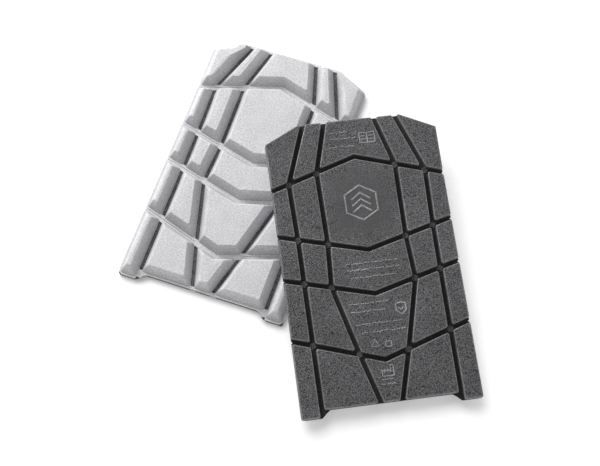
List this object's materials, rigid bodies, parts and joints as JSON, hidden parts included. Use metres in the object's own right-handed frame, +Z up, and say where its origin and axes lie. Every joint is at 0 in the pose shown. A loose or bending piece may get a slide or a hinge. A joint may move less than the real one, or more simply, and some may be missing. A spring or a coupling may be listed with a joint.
{
  "type": "knee guards",
  "caption": "Flexible two-layer foam knee guards: a bevelled light outer shell on a flat-blocked dark liner, cut by hinge grooves; one lies flat, its mate leans on it.",
  "frame": {"origin": "middle of the kneecap plate of the guard that lies flat, on the floor", "axes": "+X across that guard, +Y from its foot edge to its top edge, +Z up"},
  "size_m": [0.3246, 0.3259, 0.0494],
  "materials": {
    "shell_foam": "matte light grey closed-cell foam with a fine grain",
    "liner_foam": "matte anthracite closed-cell foam with a speckled grain"
  },
  "bodies": {
    "lower_foot_left": {"lower_foot_left_liner": "liner_foam", "lower_foot_left_shell": "shell_foam"},
    "lower_foot_plate": {"lower_foot_plate_liner": "liner_foam", "lower_foot_plate_shell": "shell_foam"},
    "lower_foot_right": {"lower_foot_right_liner": "liner_foam", "lower_foot_right_shell": "shell_foam"},
    "lower_shin_left": {"lower_shin_left_liner": "liner_foam", "lower_shin_left_shell": "shell_foam"},
    "lower_shin_plate": {"lower_shin_plate_liner": "liner_foam", "lower_shin_plate_shell": "shell_foam"},
    "lower_shin_right": {"lower_shin_right_liner": "liner_foam", "lower_shin_right_shell": "shell_foam"},
    "lower_band_left": {"lower_band_left_liner": "liner_foam", "lower_band_left_shell": "shell_foam"},
    "lower_band_plate": {"lower_band_plate_liner": "liner_foam", "lower_band_plate_shell": "shell_foam"},
    "lower_band_right": {"lower_band_right_liner": "liner_foam", "lower_band_right_shell": "shell_foam"},
    "lower_kneecap_left": {"lower_kneecap_left_liner": "liner_foam", "lower_kneecap_left_shell": "shell_foam"},
    "lower_kneecap_plate": {"lower_kneecap_plate_liner": "liner_foam", "lower_kneecap_plate_shell": "shell_foam"},
    "lower_kneecap_right": {"lower_kneecap_right_liner": "liner_foam", "lower_kneecap_right_shell": "shell_foam"},
    "lower_top_left": {"lower_top_left_liner": "liner_foam", "lower_top_left_shell": "shell_foam"},
    "lower_top_plate": {"lower_top_plate_liner": "liner_foam", "lower_top_plate_shell": "shell_foam"},
    "lower_top_right": {"lower_top_right_liner": "liner_foam", "lower_top_right_shell": "shell_foam"},
    "upper_foot_left": {"upper_foot_left_liner": "liner_foam", "upper_foot_left_shell": "shell_foam"},
    "upper_foot_plate": {"upper_foot_plate_liner": "liner_foam", "upper_foot_plate_shell": "shell_foam"},
    "upper_foot_right": {"upper_foot_right_liner": "liner_foam", "upper_foot_right_shell": "shell_foam"},
    "upper_shin_left": {"upper_shin_left_liner": "liner_foam", "upper_shin_left_shell": "shell_foam"},
    "upper_shin_plate": {"upper_shin_plate_liner": "liner_foam", "upper_shin_plate_shell": "shell_foam"},
    "upper_shin_right": {"upper_shin_right_liner": "liner_foam", "upper_shin_right_shell": "shell_foam"},
    "upper_band_left": {"upper_band_left_liner": "liner_foam", "upper_band_left_shell": "shell_foam"},
    "upper_band_plate": {"upper_band_plate_liner": "liner_foam", "upper_band_plate_shell": "shell_foam"},
    "upper_band_right": {"upper_band_right_liner": "liner_foam", "upper_band_right_shell": "shell_foam"},
    "upper_kneecap_left": {"upper_kneecap_left_liner": "liner_foam", "upper_kneecap_left_shell": "shell_foam"},
    "upper_kneecap_plate": {"upper_kneecap_plate_liner": "liner_foam", "upper_kneecap_plate_shell": "shell_foam"},
    "upper_kneecap_right": {"upper_kneecap_right_liner": "liner_foam", "upper_kneecap_right_shell": "shell_foam"},
    "upper_top_left": {"upper_top_left_liner": "liner_foam", "upper_top_left_shell": "shell_foam"},
    "upper_top_plate": {"upper_top_plate_liner": "liner_foam", "upper_top_plate_shell": "shell_foam"},
    "upper_top_right": {"upper_top_right_liner": "liner_foam", "upper_top_right_shell": "shell_foam"}
  },
  "joints": [
    {"name": "lower_band_flex", "type": "hinge", "parent": "lower_kneecap_plate", "child": "lower_band_plate", "pos_m": [0, -0.03177, 0.0057], "axis": [1, 0, 0], "range_deg": [0, 10]},
    {"name": "lower_shin_flex", "type": "hinge", "parent": "lower_band_plate", "child": "lower_shin_plate", "pos_m": [0, -0.06977, 0.0057], "axis": [1, 0, 0], "range_deg": [0, 10]},
    {"name": "lower_foot_flex", "type": "hinge", "parent": "lower_shin_plate", "child": "lower_foot_plate", "pos_m": [0, -0.12315, 0.0057], "axis": [1, 0, 0], "range_deg": [0, 10]},
    {"name": "lower_top_flex", "type": "hinge", "parent": "lower_kneecap_plate", "child": "lower_top_plate", "pos_m": [0, 0.03015, 0.0057], "axis": [-1, 0, 0], "range_deg": [0, 10]},
    {"name": "lower_foot_left_wrap", "type": "hinge", "parent": "lower_foot_plate", "child": "lower_foot_left", "pos_m": [-0.01455, -0.14919, 0.0057], "axis": [0.2736, -0.9618, 0], "range_deg": [0, 10]},
    {"name": "lower_foot_right_wrap", "type": "hinge", "parent": "lower_foot_plate", "child": "lower_foot_right", "pos_m": [0.01455, -0.14919, 0.0057], "axis": [0.2736, 0.9618, 0], "range_deg": [0, 10]},
    {"name": "lower_shin_left_wrap", "type": "hinge", "parent": "lower_shin_plate", "child": "lower_shin_left", "pos_m": [-0.0279, -0.09944, 0.0057], "axis": [0.2489, -0.9685, 0], "range_deg": [0, 10]},
    {"name": "lower_shin_right_wrap", "type": "hinge", "parent": "lower_shin_plate", "child": "lower_shin_right", "pos_m": [0.0279, -0.09944, 0.0057], "axis": [0.2489, 0.9685, 0], "range_deg": [0, 10]},
    {"name": "lower_band_left_wrap", "type": "hinge", "parent": "lower_band_plate", "child": "lower_band_left", "pos_m": [-0.0343, -0.05156, 0.0057], "axis": [-0.0587, -0.9983, 0], "range_deg": [0, 10]},
    {"name": "lower_band_right_wrap", "type": "hinge", "parent": "lower_band_plate", "child": "lower_band_right", "pos_m": [0.0343, -0.05156, 0.0057], "axis": [-0.0587, 0.9983, 0], "range_deg": [0, 10]},
    {"name": "lower_kneecap_left_wrap", "type": "hinge", "parent": "lower_kneecap_plate", "child": "lower_kneecap_left", "pos_m": [-0.0336, -0.00085, 0.0057], "axis": [0.0125, -0.9999, 0], "range_deg": [0, 10]},
    {"name": "lower_kneecap_right_wrap", "type": "hinge", "parent": "lower_kneecap_plate", "child": "lower_kneecap_right", "pos_m": [0.0336, -0.00085, 0.0057], "axis": [0.0125, 0.9999, 0], "range_deg": [0, 10]},
    {"name": "lower_top_left_wrap", "type": "hinge", "parent": "lower_top_plate", "child": "lower_top_left", "pos_m": [-0.0278, 0.05371, 0.0057], "axis": [-0.2652, -0.9642, 0], "range_deg": [0, 10]},
    {"name": "lower_top_right_wrap", "type": "hinge", "parent": "lower_top_plate", "child": "lower_top_right", "pos_m": [0.0278, 0.05371, 0.0057], "axis": [-0.2652, 0.9642, 0], "range_deg": [0, 10]},
    {"name": "upper_band_flex", "type": "hinge", "parent": "upper_kneecap_plate", "child": "upper_band_plate", "pos_m": [0.12003, -0.08848, 0.02949], "axis": [-0.8962, -0.4434, 0.0173], "range_deg": [0, 10]},
    {"name": "upper_shin_flex", "type": "hinge", "parent": "upper_band_plate", "child": "upper_shin_plate", "pos_m": [0.13667, -0.12231, 0.02473], "axis": [-0.8962, -0.4434, 0.0173], "range_deg": [0, 10]},
    {"name": "upper_foot_flex", "type": "hinge", "parent": "upper_shin_plate", "child": "upper_foot_plate", "pos_m": [0.16005, -0.16983, 0.01804], "axis": [-0.8962, -0.4434, 0.0173], "range_deg": [0, 10]},
    {"name": "upper_top_flex", "type": "hinge", "parent": "upper_kneecap_plate", "child": "upper_top_plate", "pos_m": [0.09291, -0.03337, 0.03725], "axis": [0.8962, 0.4434, -0.0173], "range_deg": [0, 10]},
    {"name": "upper_foot_left_wrap", "type": "hinge", "parent": "upper_foot_plate", "child": "upper_foot_left", "pos_m": [0.1845, -0.18655, 0.01452], "axis": [0.1761, -0.9775, -0.1158], "range_deg": [0, 10]},
    {"name": "upper_foot_right_wrap", "type": "hinge", "parent": "upper_foot_plate", "child": "upper_foot_right", "pos_m": [0.15842, -0.19946, 0.01503], "axis": [-0.6665, 0.7349, 0.1253], "range_deg": [0, 10]},
    {"name": "upper_shin_left_wrap", "type": "hinge", "parent": "upper_shin_plate", "child": "upper_shin_left", "pos_m": [0.17467, -0.13636, 0.02053], "axis": [0.2011, -0.9725, -0.1171], "range_deg": [0, 10]},
    {"name": "upper_shin_right_wrap", "type": "hinge", "parent": "upper_shin_plate", "child": "upper_shin_right", "pos_m": [0.12467, -0.1611, 0.02149], "axis": [-0.6473, 0.7518, 0.1257], "range_deg": [0, 10]},
    {"name": "upper_band_left_wrap", "type": "hinge", "parent": "upper_band_plate", "child": "upper_band_left", "pos_m": [0.15943, -0.09089, 0.02642], "axis": [0.4899, -0.8626, -0.1261], "range_deg": [0, 10]},
    {"name": "upper_band_right_wrap", "type": "hinge", "parent": "upper_band_plate", "child": "upper_band_right", "pos_m": [0.09796, -0.12131, 0.02761], "axis": [-0.3847, 0.9147, 0.1241], "range_deg": [0, 10]},
    {"name": "upper_kneecap_left_wrap", "type": "hinge", "parent": "upper_kneecap_plate", "child": "upper_kneecap_left", "pos_m": [0.13659, -0.04606, 0.03279], "axis": [0.4268, -0.8957, -0.1251], "range_deg": [0, 10]},
    {"name": "upper_kneecap_right_wrap", "type": "hinge", "parent": "upper_kneecap_plate", "child": "upper_kneecap_right", "pos_m": [0.07637, -0.07586, 0.03395], "axis": [-0.4492, 0.8846, 0.1255], "range_deg": [0, 10]},
    {"name": "upper_top_left_wrap", "type": "hinge", "parent": "upper_top_plate", "child": "upper_top_left", "pos_m": [0.1075, -0.00007, 0.03972], "axis": [0.66, -0.7407, -0.1254], "range_deg": [0, 10]},
    {"name": "upper_top_right_wrap", "type": "hinge", "parent": "upper_top_plate", "child": "upper_top_right", "pos_m": [0.05767, -0.02472, 0.04069], "axis": [-0.1847, 0.9759, 0.1163], "range_deg": [0, 10]},
    {"name": "upper_guard_lift", "type": "slide", "parent": "lower_kneecap_plate", "child": "upper_kneecap_plate", "axis": [0, 0, 1], "range_m": [0, 0.06]}
  ],
  "couplings": [
    {"joint": "lower_shin_flex", "follows": "lower_band_flex", "ratio": 1},
    {"joint": "lower_foot_flex", "follows": "lower_band_flex", "ratio": 1},
    {"joint": "lower_top_flex", "follows": "lower_band_flex", "ratio": 1},
    {"joint": "lower_foot_left_wrap", "follows": "lower_kneecap_left_wrap", "ratio": 1},
    {"joint": "lower_foot_right_wrap", "follows": "lower_kneecap_left_wrap", "ratio": 1},
    {"joint": "lower_shin_left_wrap", "follows": "lower_kneecap_left_wrap", "ratio": 1},
    {"joint": "lower_shin_right_wrap", "follows": "lower_kneecap_left_wrap", "ratio": 1},
    {"joint": "lower_band_left_wrap", "follows": "lower_kneecap_left_wrap", "ratio": 1},
    {"joint": "lower_band_right_wrap", "follows": "lower_kneecap_left_wrap", "ratio": 1},
    {"joint": "lower_kneecap_right_wrap", "follows": "lower_kneecap_left_wrap", "ratio": 1},
    {"joint": "lower_top_left_wrap", "follows": "lower_kneecap_left_wrap", "ratio": 1},
    {"joint": "lower_top_right_wrap", "follows": "lower_kneecap_left_wrap", "ratio": 1},
    {"joint": "upper_shin_flex", "follows": "upper_band_flex", "ratio": 1},
    {"joint": "upper_foot_flex", "follows": "upper_band_flex", "ratio": 1},
    {"joint": "upper_top_flex", "follows": "upper_band_flex", "ratio": 1},
    {"joint": "upper_foot_left_wrap", "follows": "upper_kneecap_left_wrap", "ratio": 1},
    {"joint": "upper_foot_right_wrap", "follows": "upper_kneecap_left_wrap", "ratio": 1},
    {"joint": "upper_shin_left_wrap", "follows": "upper_kneecap_left_wrap", "ratio": 1},
    {"joint": "upper_shin_right_wrap", "follows": "upper_kneecap_left_wrap", "ratio": 1},
    {"joint": "upper_band_left_wrap", "follows": "upper_kneecap_left_wrap", "ratio": 1},
    {"joint": "upper_band_right_wrap", "follows": "upper_kneecap_left_wrap", "ratio": 1},
    {"joint": "upper_kneecap_right_wrap", "follows": "upper_kneecap_left_wrap", "ratio": 1},
    {"joint": "upper_top_left_wrap", "follows": "upper_kneecap_left_wrap", "ratio": 1},
    {"joint": "upper_top_right_wrap", "follows": "upper_kneecap_left_wrap", "ratio": 1}
  ]
}
